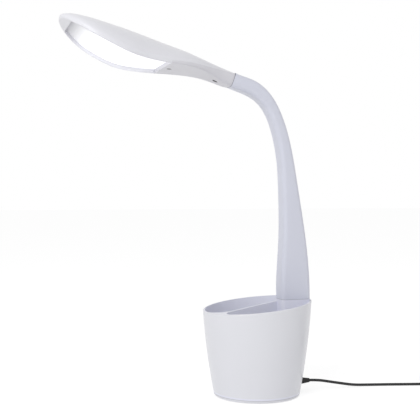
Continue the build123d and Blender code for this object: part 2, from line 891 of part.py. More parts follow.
def led_places():
    """X and Y of each LED."""
    span_x = led_window_end - led_window_start
    span_y = 2 * led_window_half_width
    places = []
    for i in range(led_columns):
        for j in range(led_rows):
            x = led_window_start + span_x * (i + 0.5) / led_columns
            y = -led_window_half_width + span_y * (j + 0.5) / led_rows
            places.append((x, y))
    return places


def make_leds():
    """The LEDs on the board's underside."""
    board_low = light_heights()[2]
    sheet = leaf_slab(board_low - led_height, board_low, led_window_start - 1, led_window_end + 1)
    pieces = []
    for x, y in led_places():
        block = box_between(
            (x - led_length / 2, y - led_width / 2, 0), (x + led_length / 2, y + led_width / 2, 900)
        )
        pieces.extend((sheet & block).solids())
    return Compound(children=pieces)


def make_head_leads():
    """The leads from the swivel shaft, past the screw posts, to the LED board's end."""
    start = -(arm_end_wall + washer_thickness + nut_thickness)
    end_x = led_window_end + 1.0
    board_top = board_top_at(end_x)
    points = [on_axis(start), on_axis(9.6), *head_lead_points]
    points.append((end_x + 3.2, head_lead_y, board_top + 5.6))
    points.append((end_x, head_lead_y, board_top + 0.9))
    path = FilletPolyline(*points, radius=bend_radii(points))
    return swept_rod(path, harness_radius - 0.2)


def board_top_at(x):
    """Height of the LED board's upper side at x."""
    line = rim_line(light_heights()[3])
    low, high = 0.0, 1.0
    for step in range(30):
        middle = (low + high) / 2
        if line.position_at(middle).X < x:
            low = middle
        else:
            high = middle
    return line.position_at(high).Z


# ---- the cord ----------------------------------------------------------------------------
def plug_start():
    """X of the jack's face, where the plug's collar begins."""
    return tub_radius(jack_height) + 0.1


def plug_end():
    """The point where the cord leaves the plug's strain relief."""
    return (plug_start() + plug_collar_length + relief_length, 0.0, jack_height)


def make_plug():
    """The power plug: barrel, collar and a tapered strain relief with ribs."""
    start = plug_start()
    collar_end = start + plug_collar_length
    end = plug_end()[0]
    middle = jack_height
    barrel = rod((start - plug_barrel_length, 0, middle), (start + 1, 0, middle), plug_barrel_radius)
    barrel = barrel - rod((start - 12, 0, middle), (start - 0.2, 0, middle), plug_barrel_bore)
    collar = rod((start, 0, middle), (collar_end, 0, middle), plug_collar_radius)
    collar = fillet(collar.edges(), 0.6)
    axis = Plane(origin=(collar_end - 0.5, 0, middle), z_dir=(1, 0, 0))
    length = end - collar_end + 0.5
    taper = axis * Cone(
        relief_start_radius, relief_end_radius, length, align=(Align.CENTER, Align.CENTER, Align.MIN)
    )
    for i in range(relief_rib_count):
        share = (i + 1.2) / (relief_rib_count + 1)
        x = collar_end + relief_length * share
        radius = relief_start_radius + (relief_end_radius - relief_start_radius) * share
        ring = rod((x - 0.5, 0, middle), (x + 0.5, 0, middle), radius + 1)
        ring = ring - rod((x - 1, 0, middle), (x + 1, 0, middle), radius - 0.45)
        taper = taper - ring
    return barrel + collar + taper


def biarc(start, start_way, end, end_way):
    """Two tangent arcs from start to end that leave and arrive along the two directions."""
    start = Vector(*start)
    end = Vector(*end)
    first = Vector(*start_way).normalized()
    last = Vector(*end_way).normalized()
    chord = end - start
    ways = first + last
    # |chord - d * ways| = 2 d
    a = ways.dot(ways) - 4
    b = -2 * chord.dot(ways)
    c = chord.dot(chord)
    d = (-b - sqrt(b * b - 4 * a * c)) / (2 * a) if abs(a) > 1e-9 else -c / b
    corner_a = start + first * d
    corner_b = end - last * d
    joint = (corner_a + corner_b) * 0.5
    return [arc_at_corner(start, corner_a, joint), arc_at_corner(joint, corner_b, end)]


def arc_at_corner(start, corner, end):
    """The arc from start to end that touches the two lines through corner."""
    middle = (start + end) * 0.5
    leg = (corner - start).length
    half_chord = (end - start).length / 2
    height = (middle - corner).length
    radius = leg * half_chord / height
    to_middle = (middle - corner).normalized()
    top = corner + to_middle * (sqrt(radius * radius + leg * leg) - radius)
    return ThreePointArc(start, top, end)


def coil_nodes():
    """The coil's points at each half turn: side of the centre, radius and height."""
    nodes = []
    per_layer = coil_half_turns
    outer = coil_mid_radius + coil_pitch * per_layer / 4
    radius = outer
    side = -1
    nodes.append((side, radius, cord_floor_z))
    for layer in range(coil_layers):
        way = -1 if layer % 2 == 0 else 1
        count = coil_exit_half_turns if layer == coil_layers - 1 else per_layer
        for step in range(count):
            radius += way * coil_pitch / 2
            side = -side
            nodes.append((side, radius, cord_floor_z + layer * coil_rise))
        if layer < coil_layers - 1:
            side = -side
            nodes.append((side, radius, cord_floor_z + (layer + 1) * coil_rise))
    return nodes


def coil_path():
    """The coil's middle line, made of half turns of two arcs each."""
    points = []
    ways = []
    for side, radius, z in coil_nodes():
        points.append((coil_centre_x, coil_centre_y + side * radius, z))
        ways.append((1.0, 0.0, 0.0) if side < 0 else (-1.0, 0.0, 0.0))
    arcs = []
    for i in range(len(points) - 1):
        arcs.extend(biarc(points[i], ways[i], points[i + 1], ways[i + 1]))
    return Wire([arc.edge() if hasattr(arc, "edge") else arc for arc in arcs])


def least_self_gap(path, radius):
    """Smallest free distance between two turns, measured on points of the middle line."""
    count = int(path.length / 1.5)
    points = [path.position_at(i / count) for i in range(count + 1)]
    skip = int(4 * coil_mid_radius / 1.5 / 2)
    least = 1e9
    for i in range(len(points)):
        for j in range(i + skip, len(points)):
            least = min(least, (points[i] - points[j]).length)
    return least - 2 * radius


def make_cord():
    """The free cord from the plug to the coil, along the desk."""
    entry = coil_path() @ 0
    points = [plug_end(), *cord_route, tuple(entry)]
    radii = bend_radii(points)
    print("cord radii", [round(r, 1) for r in radii])
    path = FilletPolyline(*points, radius=radii)
    solid = swept_rod(path, cord_diameter / 2)
    expected = pi * cord_diameter**2 / 4 * path.length
    print("cord length", round(path.length, 1), "volume ratio", round(solid.volume / expected, 4))
    return solid


def make_coil():
    """The stored length as a wound coil, one unbroken tube."""
    path = coil_path()
    radius = cord_diameter / 2
    print("coil length", round(path.length, 1), "least self-gap", round(least_self_gap(path, radius), 2))
    return swept_rod(path, radius)


def make_tail():
    """The short end from the coil to the wall adapter."""
    start = coil_path() @ 1
    end = (adapter_start()[0], adapter_start()[1], adapter_exit_z)
    points = [tuple(start), *tail_route, end]
    radii = bend_radii(points)
    print("tail radii", [round(r, 1) for r in radii])
    path = FilletPolyline(*points, radius=radii)
    print("tail length", round(path.length, 1))
    return swept_rod(path, cord_diameter / 2)


def adapter_start():
    """X and Y where the cord enters the adapter's strain relief."""
    return tail_route[-1][0] + tail_end_run, tail_route[-1][1]


def make_adapter():
    """The wall adapter, lying on the desk."""
    start_x, y = adapter_start()
    low_x = start_x + adapter_relief_length - 0.5
    body = box_between(
        (low_x, y - adapter_width / 2, 0.0), (low_x + adapter_length, y + adapter_width / 2, adapter_height)
    )
    body = fillet(body.edges().filter_by(Axis.Z), adapter_round)
    body = fillet(body.edges().group_by(Axis.Z)[-1], 1.5)
    relief = Plane(origin=(start_x, y, adapter_exit_z), z_dir=(1, 0, 0)) * Cone(
        cord_diameter / 2 + 0.6,
        cord_diameter / 2 + 1.8,
        adapter_relief_length,
        align=(Align.CENTER, Align.CENTER, Align.MIN),
    )
    return body + relief


def make_prongs():
    """The adapter's two flat contact blades."""
    start_x, y = adapter_start()
    start = start_x + adapter_relief_length - 0.5 + adapter_length
    middle = adapter_height / 2
    pieces = []
    for side in (-1, 1):
        place = y + side * prong_spacing / 2
        pieces.append(
            box_between(
                (start, place - prong_thickness / 2, middle - prong_width / 2),
                (start + prong_length, place + prong_thickness / 2, middle + prong_width / 2),
            )
        )
    return Compound(children=pieces)


def build_base():
    """Write the tub and all it holds."""
    write("tub_body", make_tub())
    write("bottom_cover", make_cover())
    write("non_slip_pad", make_pad())
    write("cover_screws", make_cover_screws())
    write("ballast_plate", make_ballast())
    write("power_jack", make_jack())
    write("driver_board", make_driver_board())
    write("touch_sensor_plate", make_touch_pad())


def build_arm():
    """Write the arm, its core and the swivel's fixed side."""
    path = tube_path()
    tube = swept_rod(path, tube_radius) - swept_rod(path, tube_bore_radius)
    near, far = make_arm_shells(swept_rod(path, tube_radius + 0.05))
    write("arm_near_shell", near)
    write("arm_far_shell", far)
    write("arm_core_tube", tube)
    write("arm_foot_plate", make_foot_plate())
    write("arm_foot_screws", make_foot_screws())
    write("wire_harness", make_harness())
    write("spring_washer", make_washer())


def build_head():
    """Write the head and the swivel's moving side."""
    outer = head_form()
    region = above_crease()
    neck = neck_hollow(head_wall)
    walls = outer - leaf_hollow(head_wall) - neck
    space = leaf_hollow(head_wall + fit_gap)
    write("swivel_shaft", make_shaft())
    write("swivel_nut", make_nut())
    write("head_top_shell", make_head_shell(walls, region, neck))
    write("neck_cover", make_neck_cover(walls, region, neck))
    write("head_screws", make_head_screws())
    write("light_diffuser", make_diffuser(space))
    write("light_tray", make_tray(space))
    write("led_board", make_led_board())
    write("leds", make_leds())
    write("head_leads", make_head_leads())


def build_cord():
    """Write the plug, the cord, its coil and the adapter."""
    write("power_plug", make_plug())
    write("power_cord", make_cord())
    write("cord_coil", make_coil())
    write("cord_tail", make_tail())
    write("wall_adapter", make_adapter())
    write("adapter_prongs", make_prongs())


build_base()
build_arm()
build_head()
build_cord()
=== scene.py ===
"""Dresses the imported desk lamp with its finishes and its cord, and sets the light and the camera."""

from __future__ import annotations

import json
import logging
import math
from dataclasses import dataclass, field
from enum import Enum
from typing import Any, Iterable, Sequence

import bmesh
import bpy
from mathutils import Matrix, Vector

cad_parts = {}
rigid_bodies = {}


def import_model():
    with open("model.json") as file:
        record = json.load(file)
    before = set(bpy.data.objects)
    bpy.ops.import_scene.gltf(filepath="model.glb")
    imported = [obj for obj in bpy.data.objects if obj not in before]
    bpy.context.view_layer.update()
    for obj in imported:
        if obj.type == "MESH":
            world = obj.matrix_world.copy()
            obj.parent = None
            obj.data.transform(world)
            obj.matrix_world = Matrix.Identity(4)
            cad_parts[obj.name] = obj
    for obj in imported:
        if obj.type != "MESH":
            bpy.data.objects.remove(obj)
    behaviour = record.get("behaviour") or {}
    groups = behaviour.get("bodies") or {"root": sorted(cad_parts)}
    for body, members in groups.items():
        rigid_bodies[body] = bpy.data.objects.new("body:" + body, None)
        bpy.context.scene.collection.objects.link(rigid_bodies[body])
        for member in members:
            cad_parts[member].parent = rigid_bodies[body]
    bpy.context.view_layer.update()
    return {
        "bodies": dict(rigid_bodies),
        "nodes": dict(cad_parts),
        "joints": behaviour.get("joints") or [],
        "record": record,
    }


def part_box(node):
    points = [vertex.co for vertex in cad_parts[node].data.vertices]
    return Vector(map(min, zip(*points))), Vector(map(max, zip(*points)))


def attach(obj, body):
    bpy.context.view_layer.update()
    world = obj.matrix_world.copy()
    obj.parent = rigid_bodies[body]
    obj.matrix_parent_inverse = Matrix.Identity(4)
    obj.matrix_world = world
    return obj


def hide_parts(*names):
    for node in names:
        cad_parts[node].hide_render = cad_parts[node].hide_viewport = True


LOG = logging.getLogger("desk_lamp")
MM = 0.001
IMAGE_SIDE = 420
BASE_BODY = "base_and_arm"
ALONG_X = (1.0, 0.0, 0.0)
ALONG_Y = (0.0, 1.0, 0.0)
UP = (0.0, 0.0, 1.0)
PURE_WHITE = (1.0, 1.0, 1.0, 1.0)
BLACK = (0.0, 0.0, 0.0)


@dataclass(frozen=True)
class GrainLook:
    """The numbers behind one mould texture: cells per metre, roughness spread, depth in metres."""

    scale: float
    spread: float
    depth: float


class Grain(Enum):
    """How a moulded surface is textured."""

    POLISHED = GrainLook(420.0, 0.06, 0.000006)
    SATIN = GrainLook(420.0, 0.1, 0.000014)
    SPARK = GrainLook(900.0, 0.14, 0.00004)


# ---- shader helpers -------------------------------------------------------------------
class Socket:
    """Wraps a node socket so that plain arithmetic adds Math nodes."""

    def __init__(self, builder: "Shader", link: Any) -> None:
        """Keep the builder and the output socket.

        Args:
            builder: The shader builder that owns the node tree.
            link: The output socket.
        """
        self.builder = builder
        self.link = link

    def _math(self, operation: str, first: Any, second: Any) -> "Socket":
        """Add one Math node.

        Args:
            operation: The node's operation.
            first: Its first value, output or wrapped socket.
            second: Its second.

        Returns:
            The wrapped result.
        """
        node = self.builder.node("ShaderNodeMath", {"operation": operation}, {0: first, 1: second})
        return Socket(self.builder, node.outputs[0])

    def __add__(self, other: Any) -> "Socket":
        """Sum."""
        return self._math("ADD", self, other)

    def __radd__(self, other: Any) -> "Socket":
        """Sum, reflected."""
        return self._math("ADD", other, self)

    def __sub__(self, other: Any) -> "Socket":
        """Difference."""
        return self._math("SUBTRACT", self, other)

    def __rsub__(self, other: Any) -> "Socket":
        """Difference, reflected."""
        return self._math("SUBTRACT", other, self)

    def __mul__(self, other: Any) -> "Socket":
        """Product."""
        return self._math("MULTIPLY", self, other)

    def __rmul__(self, other: Any) -> "Socket":
        """Product, reflected."""
        return self._math("MULTIPLY", other, self)

    def at_least(self, other: Any) -> "Socket":
        """Larger of the two."""
        return self._math("MAXIMUM", self, other)

    def at_most(self, other: Any) -> "Socket":
        """Smaller of the two."""
        return self._math("MINIMUM", self, other)

    def above(self, other: Any) -> "Socket":
        """One where this is the larger, else zero."""
        return self._math("GREATER_THAN", self, other)

    def size(self) -> "Socket":
        """The value without its sign."""
        return self._math("ABSOLUTE", self, 0.0)


class Shader:
    """Builds one node material around a Principled shader."""

    def __init__(self, name: str) -> None:
        """Start an empty node material.

        Args:
            name: The material's name.
        """
        self.material = bpy.data.materials.new(name)
        self.material.use_nodes = True
        self.tree = self.material.node_tree
        self.tree.nodes.clear()
        self.output = self.node("ShaderNodeOutputMaterial", {}, {})
        self.principled = self.node("ShaderNodeBsdfPrincipled", {}, {})
        self.tree.links.new(self.principled.outputs[0], self.output.inputs[0])

    @classmethod
    def of_tree(cls, tree: bpy.types.NodeTree) -> "Shader":
        """Build on an emptied node tree that isn't a material's, such as the world's.

        Args:
            tree: The node tree, which is emptied.

        Returns:
            A builder with no Principled shader.
        """
        made = cls.__new__(cls)
        made.tree = tree
        tree.nodes.clear()
        return made

    def node(self, kind: str, settings: dict[str, Any], sockets: dict[Any, Any]) -> Any:
        """Add a node, set its settings, then its sockets' values or links.

        Args:
            kind: The node's type.
            settings: Properties by name.
            sockets: Values, sockets or wrapped sockets by input name or number.

        Returns:
            The new node.
        """
        made = self.tree.nodes.new(kind)
        for key, value in settings.items():
            setattr(made, key, value)
        for key, value in sockets.items():
            self.connect(made.inputs[key], value)
        return made

    def connect(self, target: Any, value: Any) -> None:
        """Link a value to an input, or set it there.

        Args:
            target: The input socket.
            value: A number, a colour, an output or a wrapped socket.
        """
        if isinstance(value, Socket):
            self.tree.links.new(value.link, target)
        elif isinstance(value, bpy.types.NodeSocket):
            self.tree.links.new(value, target)
        else:
            target.default_value = value

    def object_point(self) -> Any:
        """The Object coordinate output."""
        return self.node("ShaderNodeTexCoord", {}, {}).outputs["Object"]

    def noise(self, point: Any, scale: float, detail: float = 3.0, rough: float = 0.5) -> Socket:
        """A noise value from 0 to 1.

        Args:
            point: The coordinate's output.
            scale: Cells per metre.
            detail: Octaves.
            rough: Share of the finer octaves.

        Returns:
            The wrapped value.
        """
        made = self.node(
            "ShaderNodeTexNoise",
            {"noise_dimensions": "3D"},
            {"Vector": point, "Scale": scale, "Detail": detail, "Roughness": rough},
        )
        return Socket(self, made.outputs[0])

    def blend(self, factor: Any, first: Any, second: Any) -> Any:
        """A colour between two colours.

        Args:
            factor: Share of the second colour.
            first: Linear colour or colour output at 0.
            second: Linear colour or colour output at 1.

        Returns:
            The colour's output.
        """
        ends = [(*end, 1) if isinstance(end, tuple) else end for end in (first, second)]
        made = self.node("ShaderNodeMix", {"data_type": "RGBA"}, {0: factor, 6: ends[0], 7: ends[1]})
        return made.outputs[2]

    def along(self, point: Any, axis: Sequence[float]) -> Socket:
        """How far a point lies along an axis.

        Args:
            point: The coordinate's output.
            axis: A unit vector.

        Returns:
            The wrapped distance in metres.
        """
        made = self.node("ShaderNodeVectorMath", {"operation": "DOT_PRODUCT"}, {0: point, 1: tuple(axis)})
        return Socket(self, made.outputs["Value"])

    def bump(self, height: Socket, distance: float, strength: float) -> None:
        """Feed a height to the Normal socket through a Bump node.

        Args:
            height: The height from 0 to 1.
            distance: Its depth in metres.
            strength: The bump's strength.
        """
        made = self.node(
            "ShaderNodeBump", {}, {"Strength": strength, "Distance": distance, "Height": height}
        )
        self.tree.links.new(made.outputs[0], self.principled.inputs["Normal"])

    def feed(self, name: str, value: Any) -> None:
        """Set or link one socket of the Principled shader.

        Args:
            name: The socket's name.
            value: A number, a colour, an output or a wrapped socket.
        """
        self.connect(self.principled.inputs[name], value)


def linear(colour: Sequence[int]) -> tuple[float, float, float]:
    """Linear light values of an sRGB colour given from 0 to 255.

    Args:
        colour: Red, green and blue.

    Returns:
        The linear colour.
    """
    out = []
    for channel in colour:
        share = channel / 255
        out.append(share / 12.92 if share <= 0.04045 else ((share + 0.055) / 1.055) ** 2.4)
    return out[0], out[1], out[2]


# ---- finishes -------------------------------------------------------------------------
@dataclass(frozen=True)
class PaintedSeamShade:
    """Painted shade: a thin dark line in the colour, along the plane where two mouldings meet."""

    axis: tuple[float, float, float]
    place: float
    half_width: float = 0.45 * MM
    depth: float = 0.55

    def mask(self, shader: Shader, point: Any) -> Socket:
        """The painted shade's depth on the plane, falling to zero at its edge.

        Args:
            shader: The material's builder.
            point: The coordinate's output.

        Returns:
            The wrapped mask.
        """
        away = (shader.along(point, self.axis) - self.place).size()
        return (1 - away * (1 / self.half_width)).at_least(0.0) * self.depth


@dataclass(frozen=True)
class PaintedHoleShade:
    """Painted shade in a sunk screw hole: the colour of the moulding round it, darkened."""

    x: float
    radius: float = 2.85 * MM
    depth: float = 0.82

    def mask(self, shader: Shader, point: Any) -> Socket:
        """The painted shade's depth inside the hole's round, else zero.

        Args:
            shader: The material's builder.
            point: The coordinate's output.

        Returns:
            The wrapped mask.
        """
        across = shader.along(point, ALONG_X) - self.x
        aside = shader.along(point, ALONG_Y)
        return (self.radius * self.radius - (across * across + aside * aside)).above(0.0) * self.depth


@dataclass(frozen=True)
class PaintedPotShade:
    """Painted cool shade inside the round tub: a cooler white than its outside."""

    base_radius: float
    top_radius: float
    height: float
    margin: float = 0.25 * MM

    def mask(self, shader: Shader, point: Any) -> Socket:
        """One inside the tub's wall, else zero.

        Args:
            shader: The material's builder.
            point: The coordinate's output.

        Returns:
            The wrapped mask.
        """
        across = shader.along(point, ALONG_X)
        aside = shader.along(point, ALONG_Y)
        up = shader.along(point, UP) * ((self.top_radius - self.base_radius) / self.height)
        wall = up + (self.base_radius - self.margin)
        return (wall * wall).above(across * across + aside * aside)


@dataclass(frozen=True)
class MouldedPlastic:
    """Injection-moulded plastic with a faint flow mottling and a fine surface grain, and optional painted
    shade along seams, in screw holes and inside a pot.
    """

    name: str
    colour: tuple[int, int, int]
    shade: tuple[int, int, int]
    roughness: float
    grain: Grain
    coat: float = 0.0
    lines: tuple[PaintedSeamShade | PaintedHoleShade, ...] = ()
    inside: PaintedPotShade | None = None
    pot_shade_colour: tuple[int, int, int] = (234, 235, 246)
    flow_scale: float = 9.0
    smear_scale: float = 55.0
    painted_shade_darkness: float = 0.12
    refraction: float = 1.49
    coat_roughness: float = 0.12
    bump_strength: float = 0.35

    def build(self) -> bpy.types.Material:
        """Make the material.

        Returns:
            The material.
        """
        shader = Shader(self.name)
        look = self.grain.value
        point = shader.object_point()
        flow = shader.noise(point, self.flow_scale, 2.0)
        fine = shader.noise(point, look.scale, 3.0, 0.6)
        smear = shader.noise(point, self.smear_scale, 4.0, 0.65)
        tint = shader.blend(flow * 0.8 + smear * 0.2, linear(self.colour), linear(self.shade))
        # Painted cool shade inside the tub, blended over the mottled colour.
        if self.inside is not None:
            tint = shader.blend(self.inside.mask(shader, point), tint, linear(self.pot_shade_colour))
        # Painted shade along seams and in screw holes, in a darkened copy of the mottle's second colour.
        dark = tuple(channel * self.painted_shade_darkness for channel in linear(self.shade))
        for line in self.lines:
            tint = shader.blend(line.mask(shader, point), tint, dark)
        shader.feed("Base Color", tint)
        mean = look.spread * 0.75
        shader.feed(
            "Roughness", smear * look.spread + fine * look.spread * 0.5 + (self.roughness - mean)
        )
        shader.bump(fine * 0.7 + smear * 0.3, look.depth, self.bump_strength)
        shader.feed("IOR", self.refraction)
        shader.feed("Coat Weight", self.coat)
        shader.feed("Coat Roughness", self.coat_roughness)
        return shader.material


@dataclass(frozen=True)
class OpalLight:
    """The opal cover of a lit lamp: milky plastic that glows, with painted shade over its tip end, where its
    glow fades to none.
    """

    name: str
    colour: tuple[int, int, int]
    glow: float
    tip_shade_from: float = -0.19
    tip_shade_to: float = -0.214
    tip_shade_colour: tuple[int, int, int] = (206, 206, 211)
    clouded: tuple[int, int, int] = (246, 247, 250)
    bright: tuple[int, int, int] = (255, 255, 255)
    bright_clouded: tuple[int, int, int] = (249, 251, 255)

    def build(self) -> bpy.types.Material:
        """Make the material.

        Returns:
            The material.
        """
        shader = Shader(self.name)
        point = shader.object_point()
        cloud = shader.noise(point, 38.0, 3.0)
        fine = shader.noise(point, 1300.0, 2.0, 0.6)
        # Painted shade over the tip end: the colour turns grey and the glow fades to none.
        into_tip_shade = (self.tip_shade_from - shader.along(point, ALONG_X)) * (1 / (self.tip_shade_from - self.tip_shade_to))
        dim = into_tip_shade.at_least(0.0).at_most(1.0)
        milk = shader.blend(cloud, linear(self.colour), linear(self.clouded))
        shader.feed("Base Color", shader.blend(dim, milk, linear(self.tip_shade_colour)))
        lit = shader.blend(cloud, linear(self.bright), linear(self.bright_clouded))
        shader.feed("Emission Color", shader.blend(dim, lit, BLACK))
        shader.feed("Emission Strength", self.glow)
        shader.feed("Roughness", fine * 0.15 + 0.38)
        shader.bump(fine, 0.00003, 0.3)
        return shader.material


@dataclass(frozen=True)
class BareMetal:
    """Plated or rolled metal with drawn lines and fine pits."""

    name: str
    colour: tuple[int, int, int]
    roughness: float

    def build(self) -> bpy.types.Material:
        """Make the material.

        Returns:
            The material.
        """
        shader = Shader(self.name)
        point = shader.object_point()
        stretch = shader.node("ShaderNodeMapping", {}, {"Vector": point, "Scale": (1.0, 14.0, 1.0)})
        lines = shader.noise(stretch.outputs[0], 180.0, 4.0, 0.6)
        pits = shader.noise(point, 900.0, 2.0)
        dark = tuple(int(channel * 0.86) for channel in self.colour)
        shader.feed("Base Color", shader.blend(lines, linear(self.colour), linear(dark)))
        shader.feed("Metallic", 1.0)
        shader.feed("Roughness", lines * 0.14 + pits * 0.06 + (self.roughness - 0.1))
        shader.bump(lines * 0.6 + pits * 0.4, 0.00002, 0.4)
        return shader.material


@dataclass(frozen=True)
class SoftJacket:
    """Rubber or soft PVC: dull, with a slight drag texture and a dusty mottling."""

    name: str
    colour: tuple[int, int, int]
    dust: tuple[int, int, int]
    roughness: float
    scale: float

    def build(self) -> bpy.types.Material:
        """Make the material.

        Returns:
            The material.
        """
        shader = Shader(self.name)
        point = shader.object_point()
        broad = shader.noise(point, self.scale, 3.0)
        fine = shader.noise(point, self.scale * 14, 3.0, 0.65)
        shader.feed("Base Color", shader.blend(broad * fine, linear(self.colour), linear(self.dust)))
        shader.feed("Roughness", fine * 0.2 + broad * 0.1 + (self.roughness - 0.15))
        shader.bump(fine * 0.6 + broad * 0.4, 0.00006, 0.4)
        return shader.material


@dataclass(frozen=True)
class CircuitBoard:
    """A circuit board: solder resist with patches that stand for its tracks and pads."""

    name: str
    resist: tuple[int, int, int]
    track: tuple[int, int, int]
    pitch: float
    randomness: float = 0.7
    track_above: float = 0.62

    def build(self) -> bpy.types.Material:
        """Make the material.

        Returns:
            The material.
        """
        shader = Shader(self.name)
        point = shader.object_point()
        cells = shader.node(
            "ShaderNodeTexVoronoi",
            {"distance": "MANHATTAN", "feature": "F1"},
            {"Vector": point, "Scale": 1 / self.pitch, "Randomness": self.randomness},
        )
        edge = Socket(shader, cells.outputs["Distance"])
        track = edge.above(self.track_above)
        fine = shader.noise(point, 700.0, 2.0)
        shader.feed("Base Color", shader.blend(track, linear(self.resist), linear(self.track)))
        shader.feed("Roughness", fine * 0.15 + track * 0.1 + 0.3)
        shader.bump(track * 0.5 + fine * 0.1, 0.00006, 0.5)
        return shader.material


@dataclass(frozen=True)
class Floor:
    """The plain white floor: it adds its own white for the camera, which weakens the shadow on it."""

    name: str
    colour: tuple[int, int, int]
    glow: float
    shaded_share: float
    mottled: tuple[int, int, int] = (252, 252, 252)

    def build(self) -> bpy.types.Material:
        """Make the material.

        Returns:
            The material.
        """
        shader = Shader(self.name)
        point = shader.object_point()
        soft = shader.noise(point, 3.0, 2.0)
        shader.feed("Base Color", shader.blend(soft, linear(self.colour), linear(self.mottled)))
        shader.feed("Roughness", 0.9)
        shader.feed("Specular IOR Level", 0.1)
        shares = (self.shaded_share, self.shaded_share, self.shaded_share, 1.0)
        shaded = shader.node("ShaderNodeBsdfDiffuse", {}, {"Color": shares})
        white = shader.node("ShaderNodeEmission", {}, {"Color": PURE_WHITE, "Strength": self.glow})
        seen = shader.node("ShaderNodeAddShader", {}, {0: shaded.outputs[0], 1: white.outputs[0]})
        direct = seen_directly(shader)
        mixed = shader.node(
            "ShaderNodeMixShader", {}, {0: direct, 1: shader.principled.outputs[0], 2: seen.outputs[0]}
        )
        shader.tree.links.new(mixed.outputs[0], shader.output.inputs[0])
        return shader.material


def seen_directly(shader: Shader) -> Socket:
    """One for what the camera, a gloss or clear plastic sees, else zero.

    Args:
        shader: The material's builder.

    Returns:
        The wrapped mask.
    """
    rays = shader.node("ShaderNodeLightPath", {}, {})
    names = ("Is Camera Ray", "Is Glossy Ray", "Is Transmission Ray")
    camera, glossy, clear = (Socket(shader, rays.outputs[name]) for name in names)
    return camera.at_least(glossy).at_least(clear)


class Finishes:
    """All finishes of the lamp: some by piece, the rest by the record's material slot."""

    def __init__(self, frame: dict[str, Any]) -> None:
        """Build each material once.

        Args:
            frame: The loaded frame.
        """
        # Painted shade: dark lines along the arm's foot, the swivel seam and the bottom cover's joint, and
        # in the head's two screw holes.
        foot = PaintedSeamShade(UP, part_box("arm_near_shell")[0][2])
        joint = frame["record"]["behaviour"]["joints"][0]
        axis = Vector(joint["axis"]).normalized()
        seam = PaintedSeamShade(tuple(axis), axis.dot(Vector(joint["pos_m"])), 0.35 * MM, 0.5)
        tub_low, tub_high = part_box("tub_body")
        cover = PaintedSeamShade(UP, tub_low[2], 0.4 * MM, 0.6)
        inside = PaintedPotShade(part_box("bottom_cover")[1][0], tub_high[0], tub_high[2])
        screws_low, screws_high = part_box("head_screws")
        screw_radius = screws_high[1]
        sinks = (PaintedHoleShade(screws_low[0] + screw_radius), PaintedHoleShade(screws_high[0] - screw_radius))
        self.by_node: dict[str, bpy.types.Material] = {}
        # The arm, neck cover, head top and bottom cover are the tub's white plastic in painted light and
        # shade: the arm bluer and darker, the neck cover darker, the head top lighter.
        arm = MouldedPlastic(
            "arm_abs", (220, 222, 234), (216, 218, 231), 0.34, Grain.SATIN, 0.12, (foot, seam)
        ).build()
        self.by_node["arm_near_shell"] = arm
        self.by_node["arm_far_shell"] = arm
        self.by_node["neck_cover"] = MouldedPlastic(
            "neck_abs", (228, 227, 233), (223, 222, 228), 0.4, Grain.SATIN, 0.06, (seam, *sinks)
        ).build()
        self.by_node["head_top_shell"] = MouldedPlastic(
            "head_abs", (238, 238, 243), (233, 233, 239), 0.34, Grain.SATIN, 0.14, (seam,)
        ).build()
        self.by_node["bottom_cover"] = MouldedPlastic(
            "cover_abs", (232, 233, 238), (227, 227, 233), 0.36, Grain.SATIN, 0.12, (cover,)
        ).build()
        self.by_node["head_screws"] = BareMetal("dark_screws", (84, 82, 86), 0.4).build()
        white = MouldedPlastic(
            "tub_abs", (234, 235, 240), (229, 229, 235), 0.32, Grain.SATIN, 0.16, (foot, cover), inside
        )
        self.by_slot: dict[str, bpy.types.Material] = {
            "white_plastic": white.build(),
            "opal_plastic": OpalLight("lit_opal", (250, 250, 252), 0.58).build(),
            "black_plastic": MouldedPlastic(
                "black_pvc", (14, 14, 15), (21, 21, 23), 0.5, Grain.SPARK
            ).build(),
            "black_rubber": SoftJacket("cord_jacket", (11, 11, 12), (26, 26, 28), 0.55, 120.0).build(),
            "grey_rubber": SoftJacket("pad_foam", (92, 92, 95), (125, 124, 122), 0.85, 90.0).build(),
            "plain_steel": BareMetal("rolled_steel", (158, 160, 164), 0.42).build(),
            "zinc_steel": BareMetal("zinc_plating", (190, 193, 198), 0.3).build(),
            "green_board": CircuitBoard("driver_board", (24, 88, 48), (62, 132, 70), 0.0032).build(),
            "white_board": CircuitBoard("led_board_resist", (228, 230, 228), (206, 209, 208), 0.006).build(),
            "led_yellow": MouldedPlastic(
                "led_phosphor", (240, 214, 96), (228, 196, 78), 0.3, Grain.POLISHED, 0.3
            ).build(),
            "copper_pad": BareMetal("copper_foil", (198, 128, 86), 0.32).build(),
            "nickel_brass": BareMetal("nickel_blades", (196, 192, 180), 0.24).build(),
        }

    def dress_nodes(self, frame: dict[str, Any]) -> None:
        """Give each CAD node the finish of its slot.

        Args:
            frame: The loaded frame.
        """
        for entry in frame["record"]["subparts"]:
            node = frame["nodes"][entry["node"]]
            material = self.by_node.get(entry["node"], self.by_slot[entry["material_slot"]])
            if not node.material_slots:
                node.data.materials.append(material)
            for place in node.material_slots:
                place.material = material
            LOG.info("dressed %s as %s", entry["node"], material.name)


